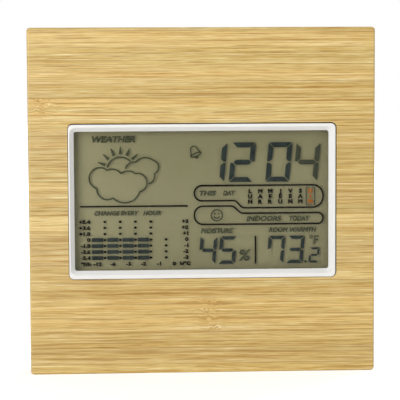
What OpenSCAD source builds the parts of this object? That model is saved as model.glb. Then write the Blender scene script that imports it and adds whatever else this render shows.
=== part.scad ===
// Desk weather station: a square bamboo board carries a bezelled liquid crystal display,
// and a moulded case behind it holds the battery bay, the keys and a folding stand.
//
// +X is to the right of someone who looks at the display, +Z is up and the display faces -Y.
// The origin is on the table, under the middle of the station. All sizes are in millimetres.

/* [Body] */
// Depth from the bezel's rim to the back of the case
depth = 25; // [25:0.5:30]
// Width and height of the square bamboo board
panel_size = 135; // [135:1:145]
// Thickness of the bamboo board
panel_t = 9; // [9:0.5:10]
// Radius of the board's four corners
panel_corner_r = 1.3; // [1:0.1:3]
// Rounding of the board's front edge
panel_edge_r = 0.8; // [0.3:0.1:0.9]

/* [Display] */
// Width of the window
window_w = 99.4; // [90:0.1:99.4]
// Height of the window
window_h = 54.3; // [48:0.1:54.3]
// Corner radius of the window
window_r = 1; // [0.6:0.1:2]
// Width of the sloping band round the window
slope_w = 1.6; // [1:0.1:1.7]
// Depth of the sloping band
slope_d = 1.7; // [0.8:0.1:2]
// How far the bezel's rim stands in front of the board
bezel_proud = 0.5; // [0.3:0.1:0.8]

/* [Case] */
// How far the case sits inside the board's edge at the sides and the top
case_inset = 1; // [0.5:0.5:2]
// Wall thickness of the case
wall = 2; // [1.6:0.1:2.4]
// Thickness of the case's back
back_t = 2.2; // [2:0.1:2.4]
// Rounding of the case's rear edge
case_edge_r = 2.5; // [1:0.5:3]

/* [Stand] */
// Width of the folding leg
leg_w = 40; // [34:1:40]
// Thickness of the folding leg
leg_t = 3.2; // [2.8:0.1:3.2]
// How far the leg opens, in degrees
leg_swing = 25; // [20:1:28]

/* [Keys] */
// Distance between neighbouring keys
key_pitch = 15; // [14:0.5:15]
// Width of a key cap
key_w = 9; // [8:0.5:10]
// Height of a key cap
key_h = 4.6; // [4:0.1:4.8]

/* [Hidden] */
$fn = 64;

// How far a cutting shape runs past the surface that it cuts
past = 1;

// The layers from front to back
front_y = -depth / 2;
back_y = depth / 2;
panel_front = front_y + bezel_proud;
panel_back = panel_front + panel_t;
mid_z = panel_size / 2;
window_y = front_y + slope_d;
tape_y = window_y + 0.5;
lens_y = tape_y + 0.15;
lens_t = 1;
flange_y = front_y + 3.5;
flange_t = 1;
polariser_t = 0.2;
glass_y = flange_y + flange_t;
glass_t = 1.1;
rear_glass_y = glass_y + glass_t;
reflector_y = rear_glass_y + glass_t;
reflector_t = 0.3;
shelf_y = reflector_y + reflector_t;
board_y = shelf_y + 1.6;
board_t = 1.2;
board_back = board_y + board_t;

// Where the window's middle and the opening's middle stand, from the bezel's middle
window_x = -0.2;
window_z = 0.2;
opening_x = 0.1;
opening_z = 0.1;

// The bezel, the display behind it and the pocket that they sit in
bezel_w = 104.1;
bezel_h = 60.2;
bezel_r = 1.8;
bezel_edge_r = 0.3;
bezel_gap = 0.3;
flange_w = 117;
flange_h = 73;
pocket_w = flange_w + 1;
pocket_h = flange_h + 1;
lens_w = 102.4;
lens_h = 57.6;
lens_gap = 0.2;
polariser_w = 101;
polariser_h = 57.2;
glass_w = 106;
glass_h = 62;
rear_glass_h = 58.8;
reflector_w = glass_w - 2;
reflector_h = rear_glass_h - 0.4;
holder_w = glass_w + 4;
holder_h = glass_h + 4;
zebra_w = 100;
zebra_t = 1.2;
zebra_z = (rear_glass_h + glass_h) / 4;
board_w = 116;
board_h = 72;

// Screws: the bezel's into the board, and the printed board's right through the holder
small_screw_r = 0.9;
small_bore_r = 0.95;
bezel_screw_x = 56.7;
bezel_screw_z = 25;
board_screw_x = 45;
board_screw_z = 34.3;
blind_y = flange_y - 1.9;

// The case
case_w = panel_size - 2 * case_inset;
case_h = panel_size - case_inset;
case_corner_r = 4;
back_in = back_y - back_t;
case_screw_r = 1.3;
case_bore_r = 1.5;
case_pilot_r = 1.35;
case_screw_tip = panel_back - 6.5;
case_seat_y = back_y - 2;
case_screw_x = panel_size / 2 - 9.5;
case_screw_low = 10;
case_screw_high = panel_size - 9;

// The folding leg and its recess
recess_w = leg_w + 2;
recess_top = 71.5;
recess_wall = 1.8;
leg_proud = -0.6;
pivot_y = back_y + leg_proud - leg_t / 2;
pivot_z = 66;
recess_floor = pivot_y - leg_t / 2 - 0.4;
leg_bottom = 2.5;
leg_top = 4;
trunnion_r = 1.5;
socket_r = 1.6;
trunnion_reach = 2.4;
stop_gap = 0.05;

// The battery bay, its two AAA cells and its door
cell_r = 5.25;
cell_l = 44.5;
cell_pitch = 11.3;
bay_half_w = 26.2;
bay_z = 77;
bay_h = 22.6;
bay_wall = 1.2;
bay_mid_z = bay_z + bay_h / 2;
bay_floor = back_y - 12.7;
cell_y = bay_floor + cell_r;
door_w = 55.4;
door_h = 24.4;
door_t = 1.6;
door_z = 76.2;
door_gap = 0.3;
door_axis_y = back_y - door_t;
door_axis_z = door_z + door_t;
door_peg_r = 0.9;
door_socket_r = 1;
door_peg_reach = 1.7;
ledge_y = door_axis_y - door_gap;
contact_t = 0.4;
dimple_h = 0.6;
nub_r = 1.9;
nub_h = 0.8;
contact_x = bay_half_w - contact_t;

// The row of keys
key_z = 109;
strip_w = 104;
strip_h = 7;
strip_d = 1;
strip_floor = back_y - strip_d;
key_board_w = 104;
key_board_h = 12;
key_board_y = back_y - 11.5;
key_board_t = 1.6;
switch_y = key_board_y + key_board_t;
switch_size = 6;
switch_h = 3.5;
plunger_y = switch_y + switch_h + 1.6;
plunger_r = 1.7;
key_screw_x = [-2.5, 0.5, 2.5];

// The keyhole that hangs the station on a screw
keyhole_r = 4.2;
keyhole_z = 121;
keyhole_slot_w = 4.4;
keyhole_slot_z = 126;
keyhole_room_w = 12;
keyhole_room_z = [115.8, 130];
keyhole_room_d = 4.8;

// The buzzer
buzzer_x = 44;
buzzer_z = 45;
buzzer_r = 10;
buzzer_seat_y = back_in - 0.8;

// Colours
bamboo_colour = [0.85, 0.72, 0.47];
shell_colour = [0.94, 0.93, 0.91];
grey_colour = [0.62, 0.63, 0.62];
display_colour = [0.55, 0.53, 0.42];
glass_colour = [0.78, 0.82, 0.78, 0.4];
steel_colour = [0.72, 0.73, 0.75];
circuit_colour = [0.12, 0.35, 0.22];
dark_colour = [0.1, 0.1, 0.11];

// ---- Shapes that several pieces share ----

// A flat outline drawn in X and Z, made solid from depth y0 to depth y1
module slab(y0, y1) {
    translate([0, y1, 0])
        rotate([90, 0, 0])
            linear_extrude(y1 - y0)
                children();
}

// A round bar along Y
module bar_y(r, y0, y1) {
    translate([0, y1, 0])
        rotate([90, 0, 0])
            cylinder(r = r, h = y1 - y0);
}

// A round bar along X, centred
module bar_x(r, length) {
    rotate([0, 90, 0])
        cylinder(r = r, h = length, center = true);
}

// A rectangle with round corners, centred
module round_rect(w, h, r) {
    square([w - 2 * r, h], center = true);
    square([w, h - 2 * r], center = true);
    for (x = [-1, 1], z = [-1, 1])
        translate([x * (w / 2 - r), z * (h / 2 - r)])
            circle(r);
}

// A slot with round ends, centred, lying along X
module slot_outline(length, width) {
    square([length - width, width], center = true);
    for (side = [-1, 1])
        translate([side * (length - width) / 2, 0])
            circle(width / 2);
}

// A strip w wide and t deep whose two front corners are rounded
module rounded_section(w, t, edge) {
    translate([-w / 2, edge])
        square([w, t - edge]);
    translate([-w / 2 + edge, 0])
        square([w - 2 * edge, t]);
    for (side = [-1, 1])
        translate([side * (w / 2 - edge), edge])
            circle(edge);
}

// Half the section of a round post with a rounded front edge
module post_section(r, t, edge) {
    translate([0, edge])
        square([r, t - edge]);
    square([r - edge, t]);
    intersection() {
        translate([r - edge, edge])
            circle(edge);
        square([r, t]);
    }
}

// A plate in X and Z with round corners, its front at y = 0 with a rounded edge all round
module rounded_plate(w, h, t, r, edge) {
    linear_extrude(h - 2 * r, center = true)
        rounded_section(w, t, edge);
    rotate([0, 90, 0])
        linear_extrude(w - 2 * r, center = true)
            rounded_section(h, t, edge);
    for (x = [-1, 1], z = [-1, 1])
        translate([x * (w / 2 - r), 0, z * (h / 2 - r)])
            rotate([-90, 0, 0])
                rotate_extrude()
                    post_section(r, t, edge);
}

// A rectangular opening that narrows by `slope` over `d`, with cone-shaped corners.
// It starts a little in front of y = 0 so that it cuts cleanly.
module narrowing_mouth(w, h, r, slope, d) {
    start = 0.2;
    wide = slope * (1 + start / d);
    linear_extrude(h - 2 * r, center = true)
        mouth_section(w, wide, start, d);
    rotate([0, 90, 0])
        linear_extrude(w - 2 * r, center = true)
            mouth_section(h, wide, start, d);
    for (x = [-1, 1], z = [-1, 1])
        translate([x * (w / 2 - r), -start, z * (h / 2 - r)])
            rotate([-90, 0, 0])
                cylinder(r1 = r + wide, r2 = r, h = d + start);
}

module mouth_section(w, wide, start, d) {
    polygon([
        [-w / 2 - wide, -start],
        [w / 2 + wide, -start],
        [w / 2, d],
        [-w / 2, d]
    ]);
}

// A cross-head screw along Y: its head rests on seat_y and its point is at tip_y
module screw(r, tip_y, seat_y, head_r, head_h) {
    point = 1.5 * r;
    difference() {
        union() {
            bar_y(r, tip_y + point, seat_y);
            translate([0, tip_y + point, 0])
                rotate([90, 0, 0])
                    cylinder(r1 = r, r2 = 0.3 * r, h = point);
            bar_y(head_r, seat_y, seat_y + 0.6 * head_h);
            translate([0, seat_y + 0.6 * head_h, 0])
                rotate([-90, 0, 0])
                    cylinder(r1 = head_r, r2 = 0.7 * head_r, h = 0.4 * head_h);
        }
        cross_recess(1.1 * head_r, 0.28 * head_r, seat_y + head_h - 0.55 * head_h, seat_y + head_h + past);
    }
}

module cross_recess(size, width, y0, y1) {
    slab(y0, y1) {
        square([size, width], center = true);
        square([width, size], center = true);
    }
}

// A round wire along a list of points; no stretch of it may run along the direction `side`
module wire(points, r, sides = 8, side = [0, 0, 1]) {
    last = len(points) - 1;
    rings = [for (i = [0:last]) each wire_ring(points, i, r, sides, side)];
    skin = [
        for (i = [0:last - 1], k = [0:sides - 1])
            [
                i * sides + k,
                i * sides + (k + 1) % sides,
                (i + 1) * sides + (k + 1) % sides,
                (i + 1) * sides + k
            ]
    ];
    start_cap = [for (k = [0:sides - 1]) sides - 1 - k];
    end_cap = [for (k = [0:sides - 1]) last * sides + k];
    polyhedron(points = rings, faces = concat(skin, [start_cap, end_cap]));
}

function unit(v) = v / norm(v);

function heading(points, i) =
    unit(points[min(i + 1, len(points) - 1)] - points[max(i - 1, 0)]);

function wire_ring(points, i, r, sides, side) =
    let (t = heading(points, i), a = unit(cross(t, side)), b = cross(a, t))
        [for (k = [0:sides - 1]) points[i] + r * (cos(360 * k / sides) * a + sin(360 * k / sides) * b)];

// A point on the smooth curve from a to d that leaves towards b and arrives from c
function curve(a, b, c, d, t) =
    pow(1 - t, 3) * a + 3 * t * pow(1 - t, 2) * b + 3 * t * t * (1 - t) * c + pow(t, 3) * d;

function curve_points(a, b, c, d, steps) =
    [for (i = [0:steps]) curve(a, b, c, d, i / steps)];

// The places of things that repeat
module at_case_screws() {
    for (x = [-1, 1], z = [case_screw_low, case_screw_high])
        translate([x * case_screw_x, 0, z])
            children();
}

module at_bezel_screws() {
    for (x = [-1, 1], z = [-1, 1])
        translate([x * bezel_screw_x, 0, mid_z + z * bezel_screw_z])
            children();
}

module at_board_screws() {
    for (x = [-1, 0, 1], z = [-1, 1])
        translate([x * board_screw_x, 0, mid_z + z * board_screw_z])
            children();
}

module at_key_screws() {
    for (place = key_screw_x)
        translate([place * key_pitch, 0, key_z])
            children();
}

// The keys stand in a row of seven places; the last place is the reset pin's
function key_x(place) = (place - 3) * key_pitch;

module at_display() {
    translate([0, mid_z])
        children();
}

module at_window() {
    translate([window_x, mid_z + window_z])
        children();
}

module at_opening() {
    translate([opening_x, mid_z + opening_z])
        children();
}

// ---- Front: board, bezel and lens ----

module bamboo_panel() {
    color(bamboo_colour)
        difference() {
            translate([0, panel_front, mid_z])
                rounded_plate(panel_size, panel_size, panel_t, panel_corner_r, panel_edge_r);
            slab(panel_front - past, panel_back + past)
                at_opening()
                    round_rect(bezel_w + 2 * bezel_gap, bezel_h + 2 * bezel_gap, bezel_r + bezel_gap);
            slab(flange_y, panel_back + past)
                at_display()
                    round_rect(pocket_w, pocket_h, 3);
            at_bezel_screws()
                bar_y(small_bore_r, blind_y - 0.1, flange_y + past);
            at_board_screws()
                bar_y(small_bore_r, blind_y - 0.1, flange_y + past);
            at_case_screws()
                bar_y(case_pilot_r, case_screw_tip - 0.3, panel_back + past);
        }
}

module front_bezel() {
    color(shell_colour)
        difference() {
            union() {
                translate([0, front_y, mid_z])
                    rounded_plate(bezel_w, bezel_h, flange_y + flange_t - front_y, bezel_r, bezel_edge_r);
                slab(flange_y, flange_y + flange_t)
                    at_display()
                        round_rect(flange_w, flange_h, 2.5);
            }
            translate([window_x, front_y, mid_z + window_z])
                narrowing_mouth(window_w, window_h, window_r, slope_w, slope_d);
            slab(front_y, tape_y + past)
                at_window()
                    round_rect(window_w, window_h, window_r);
            slab(tape_y, flange_y + flange_t + past)
                at_display()
                    round_rect(lens_w + 2 * lens_gap, lens_h + 2 * lens_gap, 0.7);
            at_bezel_screws()
                bar_y(small_bore_r, flange_y - past, glass_y + past);
            at_board_screws()
                bar_y(small_bore_r, flange_y - past, glass_y + past);
        }
}

module lens_tape() {
    color(dark_colour)
        difference() {
            slab(tape_y, lens_y)
                at_display()
                    round_rect(lens_w, lens_h, 0.5);
            slab(tape_y - past, lens_y + past)
                at_window()
                    round_rect(window_w + 0.4, window_h + 0.4, window_r);
        }
}

module window_lens() {
    color(glass_colour)
        slab(lens_y, lens_y + lens_t)
            at_display()
                round_rect(lens_w, lens_h, 0.5);
}

// ---- Display ----

module display_layer(y0, t, w, h) {
    slab(y0, y0 + t)
        at_display()
            square([w, h], center = true);
}

module front_polariser() {
    color([0.6, 0.6, 0.55, 0.4])
        display_layer(glass_y - polariser_t, polariser_t, polariser_w, polariser_h);
}

module lcd_front_glass() {
    color(glass_colour)
        display_layer(glass_y, glass_t, glass_w, glass_h);
}

module lcd_rear_glass() {
    color(glass_colour)
        display_layer(rear_glass_y, glass_t, glass_w, rear_glass_h);
}

module lcd_reflector() {
    color(display_colour)
        display_layer(reflector_y, reflector_t, reflector_w, reflector_h);
}

// Frame that clamps the display between the bezel and the printed board
module lcd_holder() {
    fit = 0.2;
    gap_t = board_y - shelf_y;
    color(shell_colour)
        difference() {
            union() {
                display_layer(glass_y, board_y - glass_y, holder_w, holder_h);
                at_board_screws()
                    bar_y(2 * small_bore_r, glass_y, board_y);
            }
            display_layer(glass_y - past, shelf_y - glass_y + past, glass_w + 2 * fit, glass_h + 2 * fit);
            display_layer(shelf_y - past, gap_t + 2 * past, glass_w - 10, rear_glass_h - 9);
            for (side = [-1, 1])
                translate([0, 0, side * zebra_z])
                    display_layer(shelf_y - past, gap_t + 2 * past, zebra_w + 1, zebra_t + 2 * fit);
            at_board_screws()
                bar_y(small_bore_r, glass_y - past, board_y + past);
        }
}

// Rubber strips that carry the signals from the printed board to the glass
module zebra_strip(side) {
    color([0.85, 0.55, 0.55])
        translate([0, 0, side * zebra_z])
            display_layer(rear_glass_y, board_y - rear_glass_y, zebra_w, zebra_t);
}

module zebra_strip_upper() {
    zebra_strip(1);
}

module zebra_strip_lower() {
    zebra_strip(-1);
}

// ---- Main board and its parts ----

module main_board() {
    color(circuit_colour)
        difference() {
            slab(board_y, board_back)
                at_display()
                    round_rect(board_w, board_h, 1);
            at_board_screws()
                bar_y(small_bore_r + 0.1, board_y - past, board_back + past);
        }
}

// Resin drop that covers the bare chip
module chip_blob() {
    blob_r = 8;
    blob_h = 1.8;
    arc_r = (blob_r * blob_r + blob_h * blob_h) / (2 * blob_h);
    color(dark_colour)
        translate([0, board_back, 50])
            rotate([-90, 0, 0])
                rotate_extrude()
                    intersection() {
                        translate([0, blob_h - arc_r])
                            circle(arc_r, $fn = 360);
                        square([blob_r + past, blob_h + past]);
                    }
}

module quartz_crystal() {
    can_r = 1;
    color(steel_colour)
        translate([16, board_back + can_r, 44]) {
            rotate([0, 90, 0])
                cylinder(r = can_r, h = 6);
            for (z = [-0.45, 0.45])
                translate([-2, 0, z])
                    rotate([0, 90, 0])
                        cylinder(r = 0.15, h = 2.2);
        }
}

module board_capacitors() {
    color([0.2, 0.22, 0.3])
        for (x = [-20, -13])
            translate([x, board_back, 62])
                bar_y(2.5, 0, 5.5);
    color([0.72, 0.6, 0.42])
        for (x = [-9:3:9])
            translate([x, board_back + 0.4, 38])
                cube([1.2, 0.8, 2], center = true);
}

module humidity_sensor() {
    color(shell_colour)
        translate([-41, board_back, 48])
            difference() {
                slab(0, 4.5)
                    round_rect(10, 13, 1);
                for (z = [-4:2:4])
                    translate([0, 0, z])
                        slab(2.5, 4.5 + past)
                            slot_outline(7, 0.9);
            }
}

module temperature_sensor() {
    bead_r = 1.3;
    lead_r = 0.25;
    color(dark_colour)
        translate([-41, board_back, 36]) {
            translate([0, 5, 0])
                sphere(bead_r);
            for (x = [-0.6, 0.6])
                translate([x, 0, 0])
                    bar_y(lead_r, 0, 4.5);
        }
}

module bezel_screws() {
    color(steel_colour)
        at_bezel_screws()
            screw(small_screw_r, blind_y, glass_y, 1.6, 1.2);
}

module board_screws() {
    color(steel_colour)
        at_board_screws()
            screw(small_screw_r, blind_y, board_back, 1.7, 1.3);
}

// ---- Case ----

module case_shell() {
    difference() {
        translate([0, back_y, case_h / 2])
            mirror([0, 1, 0])
                rounded_plate(case_w, case_h, back_y - panel_back, case_corner_r, case_edge_r);
        slab(panel_back - past, back_in)
            translate([0, case_h / 2])
                round_rect(case_w - 2 * wall, case_h - 2 * wall, case_corner_r - wall);
    }
}

// A box given by its lowest and highest corners
module box(low, high) {
    translate(low)
        cube(high - low);
}

module leg_recess_walls() {
    half = recess_w / 2 + recess_wall;
    box([-half, recess_floor - recess_wall, 0.5], [half, back_in + past, recess_top + recess_wall]);
    for (side = [-1, 1])
        translate([side * (half + 1), 0, 0])
            box([-1, recess_floor - recess_wall, pivot_z - 4], [1, back_in + past, pivot_z + 4]);
}

module leg_recess_cut() {
    half = recess_w / 2;
    box([-half, recess_floor, -past], [half, back_y + past, recess_top]);
    translate([0, pivot_y, pivot_z])
        bar_x(socket_r, leg_w + 2 * trunnion_reach + 0.6);
}

module bay_walls() {
    half = bay_half_w + bay_wall;
    box([-half, bay_floor - 1, bay_z - bay_wall], [half, back_in + 0.1, bay_z + bay_h + bay_wall]);
    door_sill();
}

// A thick bar under the door; its two ends hold the sockets for the door's pegs
module door_sill() {
    half = door_w / 2 + door_peg_reach + 1.5;
    box([-half, door_axis_y - 2.6, door_z - 1.6], [half, back_in + 0.1, door_axis_z + 2]);
}

// The room for the cells, the door's opening and hinge, and the slots for the contact lugs
module bay_cut() {
    half_door = door_w / 2 + door_gap;
    box([-bay_half_w, bay_floor, bay_z], [bay_half_w, back_y + past, bay_z + bay_h]);
    box([-half_door, ledge_y, door_z - door_gap], [half_door, back_y + past, door_z + door_h + door_gap]);
    translate([0, door_axis_y, door_axis_z]) {
        bar_x(door_t + door_gap, 2 * half_door);
        bar_x(door_socket_r, door_w + 2 * door_peg_reach + 0.4);
    }
    for (side = [-1, 1])
        translate([-bay_half_w, 0, bay_mid_z + side * cell_pitch / 2])
            box([-2 * bay_wall, bay_floor + 0.6, -1.6], [past, bay_floor + 1.4, 1.6]);
    translate([0, 0, door_z + door_h + door_gap])
        bar_y(4, back_y - 1.2, back_y + past);
}

module case_bosses() {
    at_case_screws()
        bar_y(3.4, panel_back, back_in + past);
    at_key_screws()
        bar_y(2.2, switch_y, back_in + past);
    translate([buzzer_x, 0, buzzer_z])
        bar_y(buzzer_r + 1.5, back_in - 2, back_in + past);
}

module boss_cuts() {
    at_case_screws() {
        bar_y(case_bore_r, panel_back - past, back_y);
        bar_y(2.8, case_seat_y, back_y + past);
    }
    at_key_screws()
        bar_y(small_bore_r, switch_y - past, switch_y + 5.5);
    translate([buzzer_x, 0, buzzer_z]) {
        bar_y(buzzer_r + 0.2, back_in - 2 - past, buzzer_seat_y);
        bar_y(buzzer_r - 0.8, back_in - 2 - past, back_in);
    }
}

module keyhole_room() {
    half = keyhole_room_w / 2 + bay_wall;
    box(
        [-half, back_in - keyhole_room_d - bay_wall, keyhole_room_z[0] - bay_wall],
        [half, back_in + past, keyhole_room_z[1] + bay_wall]
    );
}

module keyhole_cut() {
    half = keyhole_room_w / 2;
    box([-half, back_in - keyhole_room_d, keyhole_room_z[0]], [half, back_in, keyhole_room_z[1]]);
    slab(back_in - past, back_y + past) {
        translate([0, keyhole_z])
            circle(keyhole_r);
        translate([-keyhole_slot_w / 2, keyhole_z])
            square([keyhole_slot_w, keyhole_slot_z - keyhole_z]);
        translate([0, keyhole_slot_z])
            circle(keyhole_slot_w / 2);
    }
}

module key_cuts() {
    slab(strip_floor, back_y + past)
        translate([0, key_z])
            round_rect(strip_w, strip_h, 1.5);
    for (place = [0:5])
        translate([key_x(place), 0, key_z])
            slab(back_in - past, back_y)
                round_rect(key_w + 0.6, key_h + 0.6, 1.3);
    translate([key_x(6), 0, key_z])
        bar_y(1.1, back_in - past, back_y);
}

// Slots that let the air of the room reach the two sensors
module vent_cuts() {
    for (row = [0:7])
        translate([-41, 0, 32 + 3.4 * row])
            slab(back_in - past, back_y + past)
                slot_outline(22, 1.6);
}

module buzzer_grille() {
    translate([buzzer_x, 0, buzzer_z]) {
        bar_y(0.75, back_in - past, back_y + past);
        for (turn = [0:60:300])
            rotate([0, turn, 0])
                translate([4, 0, 0])
                    bar_y(0.75, back_in - past, back_y + past);
    }
}

module rear_cover() {
    color(shell_colour)
        difference() {
            union() {
                case_shell();
                leg_recess_walls();
                bay_walls();
                case_bosses();
                keyhole_room();
            }
            leg_recess_cut();
            bay_cut();
            boss_cuts();
            keyhole_cut();
            key_cuts();
            vent_cuts();
            buzzer_grille();
        }
}

module case_screws() {
    color(steel_colour)
        at_case_screws()
            screw(case_screw_r, case_screw_tip, case_seat_y, 2.4, 1.6);
}

// ---- Battery bay ----

// An AAA cell along X whose plus end is towards `plus` (1 or -1)
module cell(plus, z) {
    tip_x = contact_x - dimple_h;
    translate([plus * tip_x, cell_y, z])
        rotate([0, -90 * plus, 0]) {
            color(steel_colour)
                cylinder(r = nub_r, h = nub_h);
            color([0.2, 0.24, 0.3])
                translate([0, 0, nub_h])
                    cylinder(r = cell_r, h = cell_l - nub_h);
        }
}

module battery_upper() {
    cell(1, bay_mid_z + cell_pitch / 2);
}

module battery_lower() {
    cell(-1, bay_mid_z - cell_pitch / 2);
}

// Coil spring whose wide end is on the contact plate at +X and whose narrow end meets the cell
module contact_spring(z) {
    turns = 4;
    steps = 12;
    wire_r = 0.35;
    cell_end = cell_l + dimple_h - contact_x;
    reach = contact_x - cell_end - 2 * wire_r;
    points = [
        for (i = [0:turns * steps])
            let (part = i / (turns * steps), r = 3.6 - 1.2 * part, turn = 360 * i / steps)
                [contact_x - wire_r / 2 - reach * part, cell_y + r * cos(turn), z + r * sin(turn)]
    ];
    wire(points, wire_r, 6, [1, 0, 0]);
}

module contact_plate(low_z, high_z) {
    box([contact_x, bay_floor + 0.4, low_z], [bay_half_w, bay_floor + 9.4, high_z]);
}

module contact_dimple(z) {
    translate([contact_x - dimple_h, cell_y, z])
        rotate([0, 90, 0])
            cylinder(r = 2.4, h = dimple_h + contact_t / 2);
}

// Solder lug that reaches through the bay's end wall
module contact_lug(z) {
    box([contact_x, bay_floor + 0.8, z - 1.2], [bay_half_w + 4, bay_floor + 1.2, z + 1.2]);
}

module contact_link() {
    color(steel_colour) {
        contact_plate(bay_mid_z - 9.5, bay_mid_z + 9.5);
        contact_dimple(bay_mid_z + cell_pitch / 2);
        contact_spring(bay_mid_z - cell_pitch / 2);
    }
}

module contact_positive() {
    z = bay_mid_z - cell_pitch / 2;
    color(steel_colour)
        mirror([1, 0, 0]) {
            contact_plate(z - 4, z + 4);
            contact_dimple(z);
            contact_lug(z);
        }
}

module contact_negative() {
    z = bay_mid_z + cell_pitch / 2;
    color(steel_colour)
        mirror([1, 0, 0]) {
            contact_plate(z - 4, z + 4);
            contact_spring(z);
            contact_lug(z);
        }
}

module battery_wires() {
    lug_x = -bay_half_w - 3.6;
    wire_r = 0.5;
    for (side = [-1, 1]) {
        z = bay_mid_z + side * cell_pitch / 2;
        start = [lug_x, bay_floor + 1.2 + wire_r, z];
        end = [-38, board_back + 0.1, bay_mid_z - 2 + side * 3];
        color(side > 0 ? dark_colour : [0.7, 0.1, 0.1])
            wire(curve_points(start, start + [-5, 0.8, 0], end + [0, 3, 0], end, 10), wire_r);
    }
}

// Door that swings out about its lower edge, which is round about the hinge line;
// a peg at each end turns in the case
module battery_door() {
    top = door_z + door_h;
    color(shell_colour)
        difference() {
            union() {
                slab(door_axis_y, back_y)
                    door_outline();
                door_lower_edge();
                translate([0, door_axis_y, door_axis_z])
                    bar_x(door_peg_r, door_w + 2 * door_peg_reach);
            }
            // Slots that free the springy tongue, with a dish for a fingertip
            for (side = [-1, 1])
                translate([side * 6.4, 0, 0])
                    box([-0.4, door_axis_y - past, top - 7], [0.4, back_y + past, top + past]);
            translate([0, 0, top - 1])
                bar_y(4, back_y - 0.8, back_y + past);
            // Grip grooves
            for (row = [0:3])
                translate([0, 0, door_z + 3 + 2 * row])
                    slab(back_y - 0.5, back_y + past)
                        slot_outline(24, 0.9);
        }
}

// The door above its hinge line
module door_outline() {
    corner_r = 0.8;
    difference() {
        translate([0, door_z + door_h / 2])
            round_rect(door_w, door_h, corner_r);
        translate([-door_w, door_axis_z - door_h])
            square([2 * door_w, door_h]);
    }
}

module door_lower_edge() {
    intersection() {
        translate([0, door_axis_y, door_axis_z])
            bar_x(door_t, door_w);
        box([-door_w, door_axis_y, door_z - past], [door_w, back_y + past, door_axis_z]);
    }
}

// ---- Stand ----

// The leg's side view, with its pivot at the origin: the bevel at its top is the stop
// that meets the recess's floor when the leg is fully open
module leg_section() {
    half = leg_t / 2;
    stop_reach = pivot_y - recess_floor - stop_gap;
    heel_z = (stop_reach - half * cos(leg_swing)) / sin(leg_swing);
    crest_y = (leg_top * sin(leg_swing) - stop_reach) / cos(leg_swing);
    foot = leg_bottom - pivot_z;
    polygon([
        [-half + 0.8, foot],
        [half - 0.4, foot],
        [half, foot + 0.6],
        [half, leg_top - 1],
        [half - 1, leg_top],
        [crest_y, leg_top],
        [-half, heel_z],
        [-half, foot + 1.2]
    ]);
}

module stand_leg() {
    color(shell_colour)
        difference() {
            translate([0, pivot_y, pivot_z]) {
                translate([-leg_w / 2, 0, 0])
                    rotate([90, 0, 90])
                        linear_extrude(leg_w)
                            leg_section();
                bar_x(trunnion_r, leg_w + 2 * trunnion_reach - 0.4);
            }
            // Sunk field on the outer face
            slab(pivot_y + leg_t / 2 - 0.8, back_y + past)
                translate([0, 38])
                    round_rect(leg_w - 8, 40, 3);
            // Grip grooves for a fingertip near the foot
            for (row = [0:3])
                translate([0, 0, leg_bottom + 4 + 2.2 * row])
                    slab(pivot_y + leg_t / 2 - 0.5, back_y + past)
                        slot_outline(20, 1);
        }
}

// ---- Keys ----

module key_board() {
    color(circuit_colour)
        difference() {
            slab(key_board_y, switch_y)
                translate([0, key_z - 1])
                    round_rect(key_board_w, key_board_h, 1);
            at_key_screws()
                bar_y(small_bore_r + 0.1, key_board_y - past, switch_y + past);
        }
}

module key_board_screws() {
    color(steel_colour)
        at_key_screws()
            translate([0, 2 * key_board_y, 0])
                mirror([0, 1, 0])
                    screw(small_screw_r, key_board_y - 6.5, key_board_y, 1.7, 1.2);
}

module tact_switches() {
    color(dark_colour)
        for (place = [0:6])
            translate([key_x(place), 0, key_z])
                difference() {
                    slab(switch_y, switch_y + switch_h)
                        square(switch_size, center = true);
                    bar_y(plunger_r + 0.15, switch_y + 1.4, switch_y + switch_h + past);
                }
}

// The part of a switch that a key pushes in
module plunger(place) {
    color([0.15, 0.15, 0.16])
        translate([key_x(place), 0, key_z])
            bar_y(plunger_r, switch_y + 2.2, plunger_y);
}

// A cap with a collar behind the case's back, a post on the switch and a rounded face
module key_cap(place) {
    collar_y = back_in - 0.3;
    face_y = strip_floor + 0.5;
    color(grey_colour)
        translate([key_x(place), 0, key_z]) {
            bar_y(1.4, plunger_y, collar_y - 1);
            slab(collar_y - 1.2, collar_y)
                round_rect(key_w + 1.6, key_h + 1.6, 1);
            translate([0, face_y, 0])
                mirror([0, 1, 0])
                    rounded_plate(key_w, key_h, face_y - collar_y + 0.5, 1, 0.4);
        }
}

module mode_button() {
    key_cap(0);
}

module set_button() {
    key_cap(1);
}

module up_button() {
    key_cap(2);
}

module down_button() {
    key_cap(3);
}

module alarm_button() {
    key_cap(4);
}

module unit_button() {
    key_cap(5);
}

module mode_plunger() {
    plunger(0);
}

module set_plunger() {
    plunger(1);
}

module up_plunger() {
    plunger(2);
}

module down_plunger() {
    plunger(3);
}

module alarm_plunger() {
    plunger(4);
}

module unit_plunger() {
    plunger(5);
}

// Pin for the reset switch, sunk below the case so that only a thin tool reaches it
module reset_button() {
    color(grey_colour)
        translate([key_x(6), 0, key_z]) {
            bar_y(2, plunger_y, plunger_y + 1);
            bar_y(0.8, plunger_y, strip_floor - 0.3);
        }
}

module reset_plunger() {
    plunger(6);
}

// ---- Leads and buzzer ----

// Flat cable that rises from the main board to the key board
module ribbon_cable() {
    t = 0.3;
    low_z = 92;
    high_z = 106;
    steps = 12;
    start_y = board_back + t / 2;
    end_y = key_board_y - t / 2;
    path = [
        for (i = [0:steps])
            let (part = i / steps, z = low_z + (high_z - low_z) * part)
                [start_y + (end_y - start_y) * (1 - cos(180 * ease(part))) / 2, z]
    ];
    front_side = [for (p = path) [p[0] - t / 2, p[1]]];
    back_side = [for (i = [steps:-1:0]) [path[i][0] + t / 2, path[i][1]]];
    color([0.8, 0.8, 0.78])
        translate([30, 0, 0])
            rotate([90, 0, 90])
                linear_extrude(10)
                    polygon(concat(front_side, back_side));
}

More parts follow.
